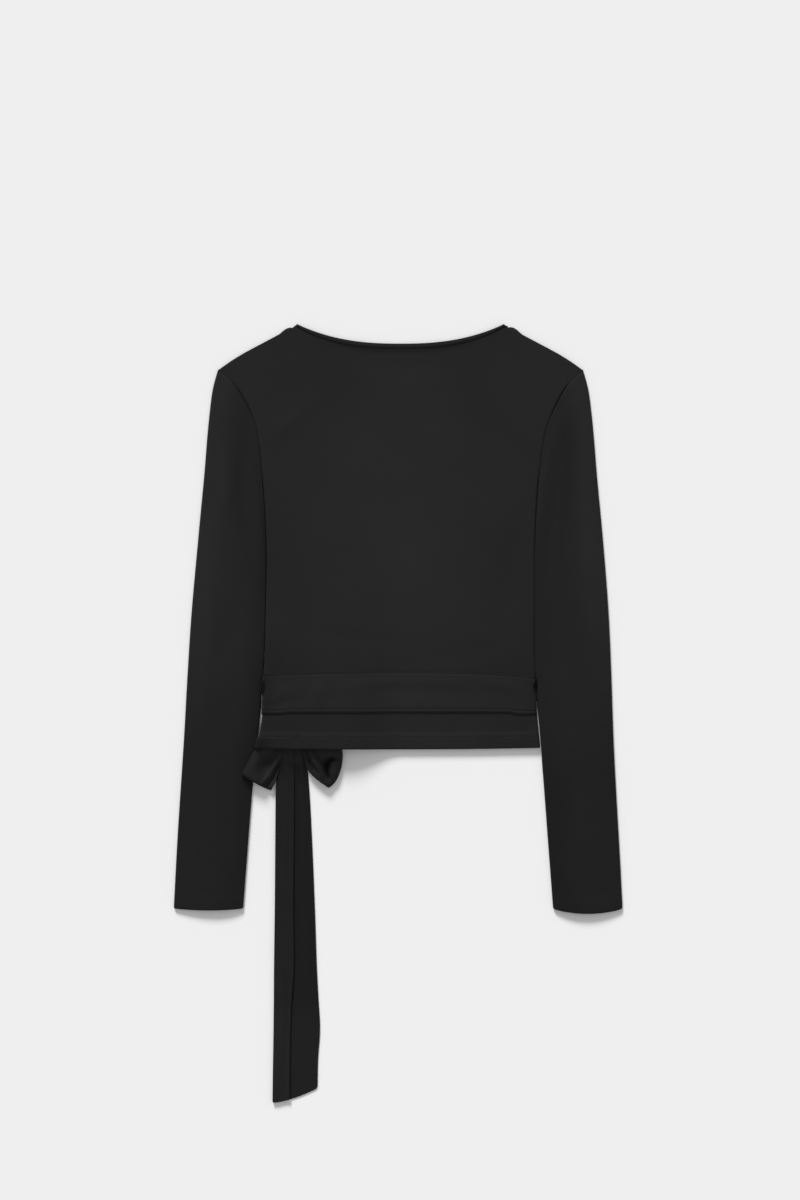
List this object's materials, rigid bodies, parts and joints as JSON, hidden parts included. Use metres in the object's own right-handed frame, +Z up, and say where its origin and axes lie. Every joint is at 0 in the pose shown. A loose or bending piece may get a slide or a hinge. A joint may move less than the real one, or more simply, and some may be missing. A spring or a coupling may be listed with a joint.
{
  "type": "wrap top",
  "caption": "Long-sleeved cropped wrap top in fine jersey, laid flat with its back up, sash across the back and tied in a bow under the hem.",
  "frame": {"origin": "middle of the bounding box, on the surface that the garment lies on", "axes": "+X to the garment's right side, +Y from hem to neck, +Z up out of the surface, through the back panel"},
  "size_m": [0.4844, 0.84, 0.0158],
  "materials": {
    "jersey": "matt black fine jersey",
    "binding": "matt black self-fabric binding",
    "sash": "matt black double jersey sash"
  },
  "bodies": {
    "root": {"back_panel": "jersey", "front_over": "jersey", "front_under": "jersey", "sleeve_left": "jersey", "sleeve_right": "jersey", "neck_band_back": "binding", "neck_band_over": "binding", "neck_band_under": "binding", "sash": "sash", "tie_over": "sash", "bow_knot": "sash", "bow_loop_left": "sash", "bow_loop_right": "sash", "tail_lower": "sash", "tail_upper": "sash"}
  },
  "joints": []
}
